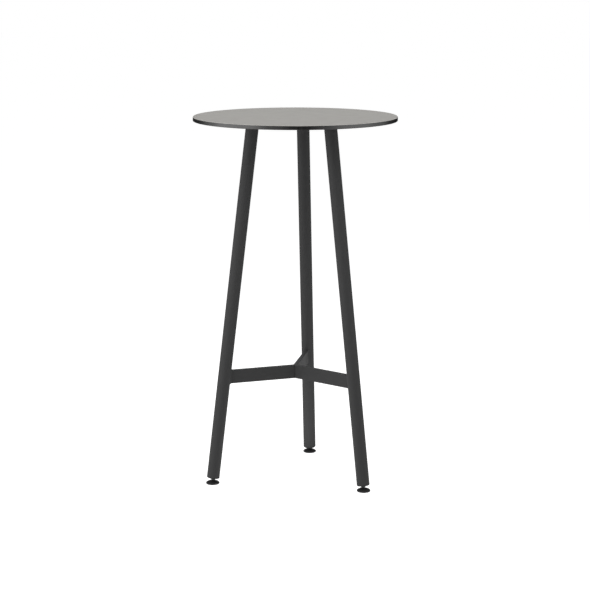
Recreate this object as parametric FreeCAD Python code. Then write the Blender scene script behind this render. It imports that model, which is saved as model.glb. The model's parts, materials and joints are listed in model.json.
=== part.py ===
import FreeCAD, Part
import math
import os

from FreeCAD import Placement, Rotation, Vector

# Standing meeting table: a thin round top on three leaning tube legs, tied together low down
# by three flat bars that meet on the table's axis. Each leg stands on a swivelling levelling foot.
#
# The floor is z = 0, the table's axis is Z, and one leg leans towards +Y. What every leg has is
# made once, for a leg that leans towards +X, and is then turned about Z to each leg's bearing.
# Sizes are in millimetres and degrees.

# Whole table
TABLE_HEIGHT = 1090.0
TOP_DIAMETER = 600.0

# Top: compact laminate, a dark core board with a decor sheet on each face
TOP_THICKNESS = 12.0
LAMINATE_THICKNESS = 0.8
ARRIS = 1.0

# Legs: round tube
LEG_DIAMETER = 38.0
LEG_WALL = 2.0
LEG_LEAN = 7.0
LEG_CIRCLE = 131.2  # table axis to leg axis, at the underside of the top
LEG_BEARINGS = {"back": 90.0, "left": 210.0, "right": 330.0}

# Stretcher: flat bars on edge
BAR_HEIGHT = 40.0
BAR_THICKNESS = 12.0
BAR_EDGE = 0.8  # radius of its long edges
SEAM_WIDTH = 1.5  # taken off each bar's face where two bars meet
SEAM_DEPTH = 2.2  # along the mitre
STRETCHER_TOP = 344.0

# Mounting plate: three round lobes joined by hollow sides
PLATE_THICKNESS = 5.0
PLATE_WAIST = 62.0  # table axis to the middle of a hollow side
PLATE_MARGIN = 5.0  # metal left outside a washer
PLATE_HOLE_DIAMETER = 8.0  # oversize, so that the laminate can move with the seasons

# Welds: fillets by leg length, and the bead in the seam between two bars by thickness
PLATE_WELD = 4.0
ARM_WELD = 3.0
WELD_TOE = 0.3
SEAM_WELD = 1.4
SEAM_WELD_CROWN = 0.2

# M6 screws through the plate into threaded inserts in the top
SCREW_DIAMETER = 6.0
SCREW_ENGAGEMENT = 5.4
HEAD_DIAMETER = 10.5
HEAD_HEIGHT = 3.3
HEAD_RIM = 1.1
HEAD_CROWN_DIAMETER = 5.2
HEAD_DOME_RISE = 0.5  # how far the head bulges over a plain cone
SOCKET_WIDTH = 4.0
SOCKET_DEPTH = 2.0
SCREW_ACCESS = 3.0  # between a washer and the weld beside it
WASHER_DIAMETER = 12.0
WASHER_THICKNESS = 1.6
WASHER_HOLE_DIAMETER = 6.4
INSERT_DIAMETER = 9.5
INSERT_LENGTH = 8.5
INSERT_GROOVE = 0.6
INSERT_GROOVES = 2
THREAD_CLEARANCE = 0.05  # radial, in every thread

# Levelling foot, from the ball upwards along the leg
BALL_RADIUS = 5.5
BALL_TOP_FLAT = 6.6  # diameter of its flat top
BALL_UNDER_FLAT = 7.55  # diameter of its flat underside
BALL_CLEARANCE = 0.05
SPIGOT_DIAMETER = 5.0
RIVET_DIAMETER = 6.2
RIVET_HEIGHT = 0.9
RIVET_RECESS = 1.1
SHOULDER_DIAMETER = 6.0
SHOULDER_HEIGHT = 1.6  # ball to hexagon
HEX_WIDTH = 13.0
HEX_HEIGHT = 3.5
HEX_BEVEL = 30.0  # degrees
FOOT_GAP = 1.7  # hexagon to plug, with the foot as it stands
STUD_DIAMETER = 8.0
STUD_LENGTH = 32.0  # above the hexagon
STUD_POINT = 1.0

# Plug in the leg's lower end, moulded round a steel nut
PLUG_FLANGE = 2.5
PLUG_EDGE = 1.0
PLUG_DEPTH = 26.0
PLUG_SKIN = 1.8
PLUG_BOSS_WALL = 1.6
PLUG_WEB = 1.6
PLUG_WEBS = 6
PLUG_WEB_STEP = 3.0  # the webs end this far below the sleeve's rim
PLUG_RIB = 0.8
PLUG_RIB_LENGTH = 2.4
PLUG_RIB_PITCH = 7.0
PLUG_RIBS = 3
PLUG_BORE_CLEARANCE = 0.35
NUT_WIDTH = 13.0
NUT_HEIGHT = 6.5
NUT_SEAT = 5.0  # above the underside of the plug

# Swivel pad and its sole
PAD_DIAMETER = 40.0
PAD_LIFT = 0.5
PAD_EDGE = 0.9
PAD_RIM = 4.5
PAD_DOME_RISE = 1.1  # how far the dome bulges over a plain cone
PAD_SOCKET_FLOOR = 2.2
PAD_BALL_ROOM = 1.2  # under the ball, so that the pad can tilt
PAD_GRIP = 3.4  # from the ball's centre to the top of the socket that holds it
PAD_NECK_WALL = 2.25
PAD_NECK_EDGE = 0.8
PAD_SOCKET_FLARE = 0.8
SOLE_INSET = 3.5
SOLE_THICKNESS = 1.3
SOLE_EDGE = 0.3

# Heights and places that follow from the sizes above
UP = Vector(0, 0, 1)
ORIGIN = Vector(0, 0, 0)
FULL_TURN = 360.0
TOP_RADIUS = TOP_DIAMETER / 2
LEG_RADIUS = LEG_DIAMETER / 2
BORE_RADIUS = LEG_RADIUS - LEG_WALL
LEAN = math.radians(LEG_LEAN)
TOP_UNDERSIDE = TABLE_HEIGHT - TOP_THICKNESS
PLATE_UNDERSIDE = TOP_UNDERSIDE - PLATE_THICKNESS
STRETCHER_BOTTOM = STRETCHER_TOP - BAR_HEIGHT
ARM_SPREAD = math.radians(FULL_TURN / len(LEG_BEARINGS))
MITRE = Vector(math.cos(ARM_SPREAD / 2), math.sin(ARM_SPREAD / 2), 0)  # along the joint of two bars


def ball_edge(radius, height):
    """Radius of a ball at a height above its centre, or its height there at a radius."""
    return math.sqrt(radius**2 - height**2)


# Distances along the leg from the ball's centre
BALL_ABOVE = ball_edge(BALL_RADIUS, BALL_TOP_FLAT / 2)
BALL_BELOW = ball_edge(BALL_RADIUS, BALL_UNDER_FLAT / 2)
HEX_ABOVE = BALL_ABOVE + SHOULDER_HEIGHT
HEX_TOP = HEX_ABOVE + HEX_HEIGHT
PLUG_UNDERSIDE = HEX_TOP + FOOT_GAP
TUBE_END = PLUG_UNDERSIDE + PLUG_FLANGE

# Heights above the floor
BALL_CENTRE = PAD_SOCKET_FLOOR + PAD_BALL_ROOM + BALL_BELOW
PAD_HEIGHT = BALL_CENTRE + PAD_GRIP


def leg_offset(height):
    """Distance from the table's axis to the leg's axis at a height above the floor."""
    return LEG_CIRCLE + (TOP_UNDERSIDE - height) * math.tan(LEAN)


BALL_OFFSET = leg_offset(BALL_CENTRE)
PLATE_LEG_OFFSET = leg_offset(PLATE_UNDERSIDE)
LEG_AXIS = Placement(Vector(BALL_OFFSET, 0, BALL_CENTRE), Rotation(Vector(0, 1, 0), -LEG_LEAN))
SCREW_OFFSET = LEG_RADIUS + PLATE_WELD + SCREW_ACCESS + WASHER_DIAMETER / 2
LOBE_RADIUS = SCREW_OFFSET + WASHER_DIAMETER / 2 + PLATE_MARGIN


def along_leg(shape):
    """Place a shape made about Z, with the ball's centre at z = 0, on the leg's axis."""
    return shape.transformed(LEG_AXIS.toMatrix())


def turned(shape, bearing):
    """A copy of a shape, turned about the table's axis."""
    return shape.rotated(ORIGIN, UP, bearing)


def outline(start, *steps):
    """Closed face in the XZ plane. A step is a point, or a pair for an arc: a point on it and its end."""
    edges = []
    here = start
    for step in steps + (start,):
        if isinstance(step[0], tuple):
            middle, end = step
            points = (Vector(x, 0, z) for x, z in (here, middle, end))
            edges.append(Part.Arc(*points).toShape())
        else:
            end = step
            ends = (Vector(x, 0, z) for x, z in (here, end))
            edges.append(Part.LineSegment(*ends).toShape())
        here = end
    return Part.Face(Part.Wire(edges))


def revolved(start, *steps):
    """Solid of revolution about Z of an outline given as (radius, height) points."""
    return outline(start, *steps).revolve(ORIGIN, UP, FULL_TURN)


def bulged(start, end, rise):
    """Middle point of an arc that stands a rise off the straight line, on its right-hand side."""
    run = Vector(end[0] - start[0], end[1] - start[1]).normalize() * rise
    return (start[0] + end[0]) / 2 + run.y, (start[1] + end[1]) / 2 - run.x


def cylinder(radius, bottom, top):
    """Cylinder on Z between two heights."""
    return Part.makeCylinder(radius, top - bottom, Vector(0, 0, bottom))


def hexagon(width, bottom, top):
    """Hexagonal prism on Z, by its width across flats."""
    corner = width / math.sqrt(3)
    first = Vector(corner, 0, bottom)
    points = [Rotation(UP, FULL_TURN * k / 6).multVec(first) for k in range(6)]
    return Part.Face(Part.makePolygon(points + [first])).extrude(UP * (top - bottom))


def bevelled_hexagon(width, bottom, top):
    """Hexagonal prism whose corners are turned off at both ends, as on a nut."""
    corner = width / math.sqrt(3)
    flat = width / 2
    drop = (corner - flat) * math.tan(math.radians(HEX_BEVEL))
    turning = revolved(
        (0, bottom), (flat, bottom), (corner, bottom + drop), (corner, top - drop), (flat, top), (0, top)
    )
    return hexagon(width, bottom, top).common(turning)


def slab(bottom, top):
    """Thick square layer that holds the whole table between two heights."""
    side = 2 * TOP_DIAMETER
    return Part.makeBox(side, side, top - bottom, Vector(-side / 2, -side / 2, bottom))


def at_each(points, shape):
    """Copies of a shape, moved to each point."""
    return Part.makeCompound([shape.translated(point) for point in points])


def for_each_leg(shape):
    """Copies of a shape, turned to each leg's bearing."""
    return Part.makeCompound([turned(shape, bearing) for bearing in LEG_BEARINGS.values()])


# Top


def screw_points():
    """Where the plate's screws stand: two beside each leg."""
    pair = [Vector(PLATE_LEG_OFFSET, side * SCREW_OFFSET, 0) for side in (-1, 1)]
    rotations = [Rotation(UP, bearing) for bearing in LEG_BEARINGS.values()]
    return [rotation.multVec(point) for rotation in rotations for point in pair]


def board():
    """The whole top as one board, with its rims chamfered and its blind holes bored."""
    rim = TOP_RADIUS - ARRIS
    disc = revolved(
        (0, TOP_UNDERSIDE),
        (rim, TOP_UNDERSIDE),
        (TOP_RADIUS, TOP_UNDERSIDE + ARRIS),
        (TOP_RADIUS, TABLE_HEIGHT - ARRIS),
        (rim, TABLE_HEIGHT),
        (0, TABLE_HEIGHT),
    )
    hole = cylinder(INSERT_DIAMETER / 2, TOP_UNDERSIDE, TOP_UNDERSIDE + INSERT_LENGTH)
    return disc.cut(at_each(screw_points(), hole))


def top_layers():
    """The board split into its three bonded layers."""
    whole = board()
    core_bottom = TOP_UNDERSIDE + LAMINATE_THICKNESS
    core_top = TABLE_HEIGHT - LAMINATE_THICKNESS
    return {
        "tabletop_backing_laminate": whole.common(slab(TOP_UNDERSIDE, core_bottom)),
        "tabletop_core": whole.common(slab(core_bottom, core_top)),
        "tabletop_face_laminate": whole.common(slab(core_top, TABLE_HEIGHT)),
    }


def threaded_insert():
    """Sleeve with grooves that bite into the board, flush with the top's underside."""
    radius = INSERT_DIAMETER / 2
    sleeve = cylinder(radius, 0, INSERT_LENGTH)
    pitch = INSERT_LENGTH / INSERT_GROOVES
    for k in range(INSERT_GROOVES):
        middle = (k + 0.5) * pitch
        groove = revolved(
            (radius, middle - INSERT_GROOVE),
            (radius - INSERT_GROOVE, middle),
            (radius, middle + INSERT_GROOVE),
        )
        sleeve = sleeve.cut(groove)
    bore = cylinder(SCREW_DIAMETER / 2 + THREAD_CLEARANCE, 0, INSERT_LENGTH)
    return sleeve.cut(bore).translated(Vector(0, 0, TOP_UNDERSIDE))


# Mounting plate and its fasteners


def plate_face():
    """Outline of the plate: a round lobe about each leg, and hollow sides tangent to the lobes."""
    reach = PLATE_LEG_OFFSET
    span = PLATE_WAIST**2 + reach**2 - PLATE_WAIST * reach - LOBE_RADIUS**2
    hollow_radius = span / (reach + 2 * LOBE_RADIUS - 2 * PLATE_WAIST)
    hollow_centre = MITRE * (PLATE_WAIST + hollow_radius)
    lobe_centre = Vector(reach, 0, 0)
    tangent = lobe_centre + (hollow_centre - lobe_centre).normalize() * LOBE_RADIUS
    mirrored = Vector(tangent.x, -tangent.y, 0)
    tip = Vector(reach + LOBE_RADIUS, 0, 0)
    waist = MITRE * PLATE_WAIST
    following = Rotation(UP, math.degrees(ARM_SPREAD)).multVec(mirrored)
    third = [Part.Arc(mirrored, tip, tangent).toShape(), Part.Arc(tangent, waist, following).toShape()]
    edges = [turned(edge, bearing) for bearing in LEG_BEARINGS.values() for edge in third]
    return Part.Face(Part.Wire(edges))


def mounting_plate():
    """Three-lobed steel plate, with oversize holes beside the legs."""
    plate = plate_face().extrude(UP * PLATE_THICKNESS)
    hole = cylinder(PLATE_HOLE_DIAMETER / 2, 0, PLATE_THICKNESS)
    return plate.cut(at_each(screw_points(), hole)).translated(UP * PLATE_UNDERSIDE)


def washer():
    """Flat washer against the underside of the plate."""
    ring = cylinder(WASHER_DIAMETER / 2, 0, WASHER_THICKNESS)
    ring = ring.cut(cylinder(WASHER_HOLE_DIAMETER / 2, 0, WASHER_THICKNESS))
    return ring.translated(Vector(0, 0, PLATE_UNDERSIDE - WASHER_THICKNESS))


def plate_screw():
    """Button-head screw with a hexagon socket, its head down and its shank up into the insert."""
    head_radius = HEAD_DIAMETER / 2
    crown = (HEAD_CROWN_DIAMETER / 2, -HEAD_HEIGHT)
    head_edge = (head_radius, -HEAD_RIM)
    shank = WASHER_THICKNESS + PLATE_THICKNESS + SCREW_ENGAGEMENT
    body = revolved(
        (0, -HEAD_HEIGHT),
        crown,
        (bulged(crown, head_edge, HEAD_DOME_RISE), head_edge),
        (head_radius, 0),
        (SCREW_DIAMETER / 2, 0),
        (SCREW_DIAMETER / 2, shank),
        (0, shank),
    )
    body = body.cut(hexagon(SOCKET_WIDTH, -HEAD_HEIGHT, -HEAD_HEIGHT + SOCKET_DEPTH))
    return body.translated(Vector(0, 0, PLATE_UNDERSIDE - WASHER_THICKNESS))


# Frame


def leg_length():
    """Distance along the leg from the ball's centre to past the plate."""
    return (PLATE_UNDERSIDE - BALL_CENTRE) / math.cos(LEAN) + LEG_DIAMETER


def leg_envelope():
    """The leg's outside as a solid rod, run on past both its ends."""
    return along_leg(cylinder(LEG_RADIUS, 0, leg_length()))


def leg_tube():
    """Tube, cut square to its own axis below and level above, where it meets the plate."""
    tube = cylinder(LEG_RADIUS, TUBE_END, leg_length()).cut(cylinder(BORE_RADIUS, TUBE_END, leg_length()))
    return along_leg(tube).cut(slab(PLATE_UNDERSIDE, TABLE_HEIGHT + LEG_DIAMETER))


def seam_points():
    """In plan, the bottom of the seam beside a bar, on its mitre, and the seam's edge on its face."""
    half = BAR_THICKNESS / 2
    corner = Vector(half / math.tan(ARM_SPREAD / 2), half, 0)
    return corner - MITRE * SEAM_DEPTH, corner + Vector(SEAM_WIDTH, 0, 0)


def stretcher_arm():
    """Flat bar on edge, coped to the leg. At the table's axis it is pointed to 120 degrees, with its
    corners taken off to leave a seam between it and the bars beside it."""
    half = BAR_THICKNESS / 2
    reach = leg_offset((STRETCHER_TOP + STRETCHER_BOTTOM) / 2)
    bar = Part.makeBox(reach, BAR_THICKNESS, BAR_HEIGHT, Vector(0, -half, STRETCHER_BOTTOM))
    long_edges = [edge for edge in bar.Edges if abs(edge.tangentAt(0).x) > 0.5]
    bar = bar.makeFillet(BAR_EDGE, long_edges)
    one_side = [*seam_points(), Vector(reach, half, 0)]
    other_side = [Vector(point.x, -point.y, 0) for point in one_side]
    plan = Part.makePolygon([ORIGIN, *other_side, *reversed(one_side), ORIGIN])
    prism = Part.Face(plan).extrude(UP * BAR_HEIGHT).translated(UP * STRETCHER_BOTTOM)
    return prism.common(bar).cut(leg_envelope())


def leg_top_weld():
    """Fillet round the leg's top, against the underside of the plate."""
    rings = []
    for drop, width in ((0, PLATE_WELD), (PLATE_WELD, WELD_TOE)):
        height = PLATE_UNDERSIDE - drop
        across = LEG_RADIUS / math.cos(LEAN) + width
        ellipse = Part.Ellipse(Vector(leg_offset(height), 0, height), across, LEG_RADIUS + width)
        rings.append(Part.Wire([ellipse.toShape()]))
    return Part.makeLoft(rings, True, True).cut(leg_envelope())


def arm_section(depth, margin):
    """The arm's section grown by a margin, on a plane along the leg, a depth from the leg's axis."""
    middle = (STRETCHER_TOP + STRETCHER_BOTTOM) / 2
    along = Vector(-math.sin(LEAN), 0, math.cos(LEAN))
    inwards = Vector(-math.cos(LEAN), 0, -math.sin(LEAN))
    foot = Vector(leg_offset(middle), 0, middle) + inwards * depth
    across = Vector(0, BAR_THICKNESS / 2 + margin, 0)
    upper = foot + along * ((STRETCHER_TOP - foot.z) / along.z + margin)
    lower = foot + along * ((STRETCHER_BOTTOM - foot.z) / along.z - margin)
    corners = [upper + across, upper - across, lower - across, lower + across]
    return Part.makePolygon(corners + corners[:1])


def arm_end_weld():
    """Fillet all round the arm where it meets the leg."""
    seat = math.sqrt(LEG_RADIUS**2 - (BAR_THICKNESS / 2 + ARM_WELD) ** 2)
    sections = [arm_section(LEG_RADIUS + ARM_WELD, WELD_TOE), arm_section(seat, ARM_WELD)]
    return Part.makeLoft(sections, True, True).cut(leg_envelope()).cut(stretcher_arm())


def centre_weld():
    """Bead with a rounded face, in the bottom of the seam between one bar and the next."""
    root, edge = seam_points()
    across = Vector(-MITRE.y, MITRE.x, 0)
    near = root + (edge - root) * (SEAM_WELD / (edge - root).dot(MITRE))
    far = near - across * (2 * (near - root).dot(across))
    crest = root + MITRE * (SEAM_WELD + SEAM_WELD_CROWN)
    sides = [
        Part.LineSegment(root, near).toShape(),
        Part.Arc(near, crest, far).toShape(),
        Part.LineSegment(far, root).toShape(),
    ]
    bead = Part.Face(Part.Wire(sides)).extrude(UP * (BAR_HEIGHT - 2 * BAR_EDGE))
    return bead.translated(UP * (STRETCHER_BOTTOM + BAR_EDGE))


# Levelling foot, made about Z with the ball's centre at z = 0


def plug_rib(bottom):
    """One barbed ring on the plug's sleeve, sloped on its upper side so that the plug pushes in."""
    root = BORE_RADIUS - PLUG_RIB
    inside = root - PLUG_SKIN / 2
    top = bottom + PLUG_RIB_LENGTH
    return revolved((inside, bottom), (BORE_RADIUS, bottom), (root, top), (inside, top))


def plug_nut():
    """Steel nut inside the plug's boss, without its bore."""
    seat = PLUG_UNDERSIDE + NUT_SEAT
    return bevelled_hexagon(NUT_WIDTH, seat, seat + NUT_HEIGHT)


def foot_plug():
    """Moulded plug: flange, ribbed sleeve, and a boss for the nut on radial webs."""
    top = TUBE_END + PLUG_DEPTH
    sleeve_radius = BORE_RADIUS - PLUG_RIB
    boss_radius = NUT_WIDTH / math.sqrt(3) + PLUG_BOSS_WALL
    flange = revolved(
        (0, PLUG_UNDERSIDE),
        (LEG_RADIUS - PLUG_EDGE, PLUG_UNDERSIDE),
        (LEG_RADIUS, PLUG_UNDERSIDE + PLUG_EDGE),
        (LEG_RADIUS, TUBE_END),
        (0, TUBE_END),
    )
    sleeve = cylinder(sleeve_radius, TUBE_END, top).cut(cylinder(sleeve_radius - PLUG_SKIN, TUBE_END, top))
    boss = cylinder(boss_radius, TUBE_END, top - PLUG_WEB_STEP)
    web_length = sleeve_radius - PLUG_SKIN / 2
    web = Part.makeBox(
        web_length, PLUG_WEB, PLUG_DEPTH - PLUG_WEB_STEP, Vector(0, -PLUG_WEB / 2, TUBE_END)
    )
    webs = [turned(web, FULL_TURN * k / PLUG_WEBS) for k in range(PLUG_WEBS)]
    ribs = [plug_rib(TUBE_END + (k + 0.5) * PLUG_RIB_PITCH) for k in range(PLUG_RIBS)]
    bore = cylinder(STUD_DIAMETER / 2 + PLUG_BORE_CLEARANCE, PLUG_UNDERSIDE, top)
    return flange.multiFuse([sleeve, boss] + webs + ribs).removeSplitter().cut(bore).cut(plug_nut())


def foot_nut():
    """The nut with its threaded bore."""
    seat = PLUG_UNDERSIDE + NUT_SEAT
    return plug_nut().cut(cylinder(STUD_DIAMETER / 2 + THREAD_CLEARANCE, seat, seat + NUT_HEIGHT))


def foot_stud():
    """Threaded stud with a hexagon to turn it by, and a riveted spigot that carries the ball."""
    thread = STUD_DIAMETER / 2
    tip = HEX_TOP + STUD_LENGTH
    shoulder = SHOULDER_DIAMETER / 2
    rivet_top = -BALL_BELOW + RIVET_RECESS - BALL_CLEARANCE
    rivet_bottom = rivet_top - RIVET_HEIGHT
    shaft = revolved(
        (0, rivet_bottom),
        (RIVET_DIAMETER / 2, rivet_bottom),
        (RIVET_DIAMETER / 2, rivet_top),
        (SPIGOT_DIAMETER / 2, rivet_top),
        (SPIGOT_DIAMETER / 2, BALL_ABOVE),
        (shoulder, BALL_ABOVE),
        (shoulder, HEX_ABOVE),
        (thread, HEX_ABOVE),
        (thread, tip - STUD_POINT),
        (thread - STUD_POINT, tip),
        (0, tip),
    )
    return shaft.fuse(bevelled_hexagon(HEX_WIDTH, HEX_ABOVE, HEX_TOP)).removeSplitter()


def foot_ball():
    """Nylon ball, flat above and below, bored for the spigot and recessed for its riveted end."""
    bore = SPIGOT_DIAMETER / 2 + BALL_CLEARANCE
    recess = RIVET_DIAMETER / 2 + BALL_CLEARANCE
    return revolved(
        (recess, -BALL_BELOW),
        (BALL_UNDER_FLAT / 2, -BALL_BELOW),
        ((BALL_RADIUS, 0), (BALL_TOP_FLAT / 2, BALL_ABOVE)),
        (bore, BALL_ABOVE),
        (bore, RIVET_RECESS - BALL_BELOW),
        (recess, RIVET_RECESS - BALL_BELOW),
    )


# Swivel pad, made upright on the floor under the ball


def foot_pad():
    """Domed pad with a round socket that holds the ball, and a recess below for the sole."""
    rim = PAD_DIAMETER / 2
    sole = rim - SOLE_INSET
    socket = BALL_RADIUS + BALL_CLEARANCE
    neck = socket + PAD_NECK_WALL
    floor_edge = ball_edge(socket, BALL_CENTRE - PAD_SOCKET_FLOOR)
    throat_height = PAD_HEIGHT - PAD_SOCKET_FLARE
    throat = ball_edge(socket, throat_height - BALL_CENTRE)
    dome_start = (rim, PAD_RIM)
    dome_end = (neck, PAD_HEIGHT - PAD_NECK_EDGE)
    pad = revolved(
        (0, SOLE_THICKNESS),
        (sole, SOLE_THICKNESS),
        (sole, PAD_LIFT),
        (rim - PAD_EDGE, PAD_LIFT),
        (rim, PAD_LIFT + PAD_EDGE),
        dome_start,
        (bulged(dome_start, dome_end, PAD_DOME_RISE), dome_end),
        (neck - PAD_NECK_EDGE, PAD_HEIGHT),
        (throat + PAD_SOCKET_FLARE, PAD_HEIGHT),
        (throat, throat_height),
        ((socket, BALL_CENTRE), (floor_edge, PAD_SOCKET_FLOOR)),
        (0, PAD_SOCKET_FLOOR),
    )
    return pad.translated(Vector(BALL_OFFSET, 0, 0))


def foot_sole():
    """Non-slip disc let into the pad's underside."""
    radius = PAD_DIAMETER / 2 - SOLE_INSET
    disc = revolved(
        (0, 0), (radius - SOLE_EDGE, 0), (radius, SOLE_EDGE), (radius, SOLE_THICKNESS), (0, SOLE_THICKNESS)
    )
    return disc.translated(Vector(BALL_OFFSET, 0, 0))


def table():
    """Every node of the table, by name."""
    nodes = top_layers()
    nodes["threaded_inserts"] = at_each(screw_points(), threaded_insert())
    nodes["mounting_plate"] = mounting_plate()
    nodes["plate_washers"] = at_each(screw_points(), washer())
    nodes["plate_screws"] = at_each(screw_points(), plate_screw())
    nodes["leg_top_welds"] = for_each_leg(leg_top_weld())
    nodes["stretcher_end_welds"] = for_each_leg(arm_end_weld())
    nodes["stretcher_centre_welds"] = for_each_leg(centre_weld())
    per_leg = {
        "leg": leg_tube(),
        "stretcher_arm": stretcher_arm(),
        "foot_plug": along_leg(foot_plug()),
        "foot_nut": along_leg(foot_nut()),
        "foot_stud": along_leg(foot_stud()),
        "foot_ball": along_leg(foot_ball()),
        "foot_pad": foot_pad(),
        "foot_sole": foot_sole(),
    }
    for side, bearing in LEG_BEARINGS.items():
        for name, shape in per_leg.items():
            nodes[f"{name}_{side}"] = turned(shape, bearing)
    return nodes


os.makedirs("parts", exist_ok=True)
for node, shape in table().items():
    shape.exportStep(f"parts/{node}.step")
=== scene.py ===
"""Skins, finishes and studio for a three-legged standing meeting table.

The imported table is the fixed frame. Every operator below makes one piece, or one group of like
pieces, as surfaces worked out from sizes that the frame gives and from the settings in the sidebar.
Lengths are in metres, and the table stands on z = 0 with its axis on Z.
"""

import json
import math

import bmesh
import bpy
import numpy as np
from bpy.props import FloatProperty, FloatVectorProperty, IntProperty, PointerProperty
from mathutils import Matrix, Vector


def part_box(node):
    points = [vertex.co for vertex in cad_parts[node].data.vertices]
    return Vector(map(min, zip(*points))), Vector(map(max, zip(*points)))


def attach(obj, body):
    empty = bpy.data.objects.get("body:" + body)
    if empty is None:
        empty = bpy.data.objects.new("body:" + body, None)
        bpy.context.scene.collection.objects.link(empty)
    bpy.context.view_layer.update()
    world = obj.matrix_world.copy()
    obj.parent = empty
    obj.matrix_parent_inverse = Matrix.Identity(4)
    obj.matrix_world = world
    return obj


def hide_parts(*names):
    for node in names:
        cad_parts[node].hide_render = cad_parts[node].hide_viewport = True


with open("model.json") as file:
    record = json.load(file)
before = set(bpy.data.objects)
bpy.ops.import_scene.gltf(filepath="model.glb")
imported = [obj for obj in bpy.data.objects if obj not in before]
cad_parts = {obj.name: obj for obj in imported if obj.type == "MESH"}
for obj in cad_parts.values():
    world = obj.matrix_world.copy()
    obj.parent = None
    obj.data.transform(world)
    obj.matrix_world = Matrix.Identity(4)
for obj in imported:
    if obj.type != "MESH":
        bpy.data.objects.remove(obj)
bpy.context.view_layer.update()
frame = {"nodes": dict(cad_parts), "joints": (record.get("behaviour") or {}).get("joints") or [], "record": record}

bl_info = {
    "name": "Standing Meeting Table",
    "version": (1, 0, 0),
    "blender": (4, 5, 0),
    "location": "3D View > Sidebar > Meeting Table",
    "description": "Builds the skins, finishes and studio of a three-legged standing meeting table",
    "category": "Object",
}

# Places that the frame gives

TURN = 2 * math.pi
MM = 0.001
SIDES = ("back", "left", "right")
JOINTS = {joint["name"]: joint for joint in frame["joints"]}
BALLS = {side: JOINTS[f"{side}_foot_screw"]["pos_m"] for side in SIDES}
BEARINGS = {side: math.atan2(BALLS[side][1], BALLS[side][0]) for side in SIDES}
BALL_OFFSET = math.hypot(*BALLS["left"][:2])
BALL_HEIGHT = BALLS["left"][2]
LEAN = math.asin(math.hypot(*JOINTS["left_foot_screw"]["axis"][:2]))
FOOT_PITCH = TURN * frame["record"]["behaviour"]["couplings"][0]["ratio"]

TOP_RADIUS = min(abs(side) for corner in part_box("tabletop_core") for side in corner[:2])
TOP_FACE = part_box("tabletop_face_laminate")[1].z
CORE_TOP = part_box("tabletop_core")[1].z
CORE_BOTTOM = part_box("tabletop_core")[0].z
TOP_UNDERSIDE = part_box("tabletop_backing_laminate")[0].z
PLATE_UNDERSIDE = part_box("mounting_plate")[0].z
PLATE_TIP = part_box("mounting_plate")[1].y
WASHER_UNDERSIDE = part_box("plate_washers")[0].z
SCREW_HEAD_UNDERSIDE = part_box("plate_screws")[0].z
SCREW_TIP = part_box("plate_screws")[1].z
INSERT_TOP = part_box("threaded_inserts")[1].z
ARM_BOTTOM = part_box("stretcher_arm_back")[0].z
ARM_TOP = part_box("stretcher_arm_back")[1].z
PAD_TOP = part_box("foot_pad_left")[1].z
PAD_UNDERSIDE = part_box("foot_pad_left")[0].z
SOLE_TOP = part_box("foot_sole_left")[1].z


def length(name, description, millimetres):
    """A length that a user may change."""
    sizes = {"default": millimetres * MM, "min": 0, "unit": "LENGTH", "precision": 5}
    return FloatProperty(name=name, description=description, **sizes)


def angle(name, description, degrees):
    """An angle that a user may change."""
    return FloatProperty(name=name, description=description, default=math.radians(degrees), subtype="ANGLE")


def power(name, description, watts):
    """The power of a lamp."""
    return FloatProperty(name=name, description=description, default=watts, min=0, unit="POWER")


def colour(name, description, default):
    """A surface colour, as linear red, green and blue."""
    return FloatVectorProperty(
        name=name, description=description, default=default, min=0, max=1, size=3, subtype="COLOR"
    )


class TopSettings(bpy.types.PropertyGroup):
    arris: length("Arris", "Width of the chamfer on each rim of the top", 1.0)
    softening: length("Softening", "Radius left on the top's cut edges", 0.2)
    decor: colour("Decor", "Warm grey of the decor sheet", (0.198, 0.188, 0.167))
    # The cut colour is a painted highlight: the chamfer all round the top is coloured this paler grey to stand in
    # for the glint of light on the rim
    cut: colour("Cut", "Paler grey of the sheet's paper where the chamfer cuts it", (0.6, 0.588, 0.56))
    core: colour("Core", "Near black of the core that the edge shows", (0.006, 0.0058, 0.0056))
    backing: colour("Backing", "Dark brown of the resin paper under the top", (0.016, 0.0145, 0.0135))


class FixingSettings(bpy.types.PropertyGroup):
    offset: length("Offset", "From a leg's axis to the screw on either side of it", 32.0)
    thread: length("Thread", "Outside diameter of the screws' thread", 6.0)
    pitch: length("Pitch", "Distance between two turns of the screws' thread", 1.0)
    head: length("Head", "Diameter of the button heads", 10.5)
    rim: length("Rim", "Height of the straight rim of a head", 1.1)
    crown: length("Crown", "Diameter of the flat on top of a head", 5.2)
    dome: length("Dome", "How far a head bulges over a plain cone", 0.5)
    socket: length("Socket", "Width across the flats of the hexagon socket", 4.0)
    socket_depth: length("Socket depth", "Depth of the hexagon socket", 2.0)
    washer: length("Washer", "Outside diameter of the washers", 12.0)
    washer_hole: length("Washer hole", "Inside diameter of the washers", 6.4)
    insert: length("Insert", "Outside diameter of the threaded inserts", 9.5)
    groove: length("Groove", "Depth of the grooves round an insert", 0.6)
    grooves: IntProperty(name="Grooves", description="Grooves round each insert", default=2, min=1)
    knurl: length("Knurl", "Depth of the knurl on an insert", 0.12)
    steel: colour("Zinc", "Colour of the zinc on screws, washers and nuts", (0.62, 0.63, 0.64))
    brass: colour("Brass", "Colour of the threaded inserts", (0.72, 0.52, 0.24))


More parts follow.
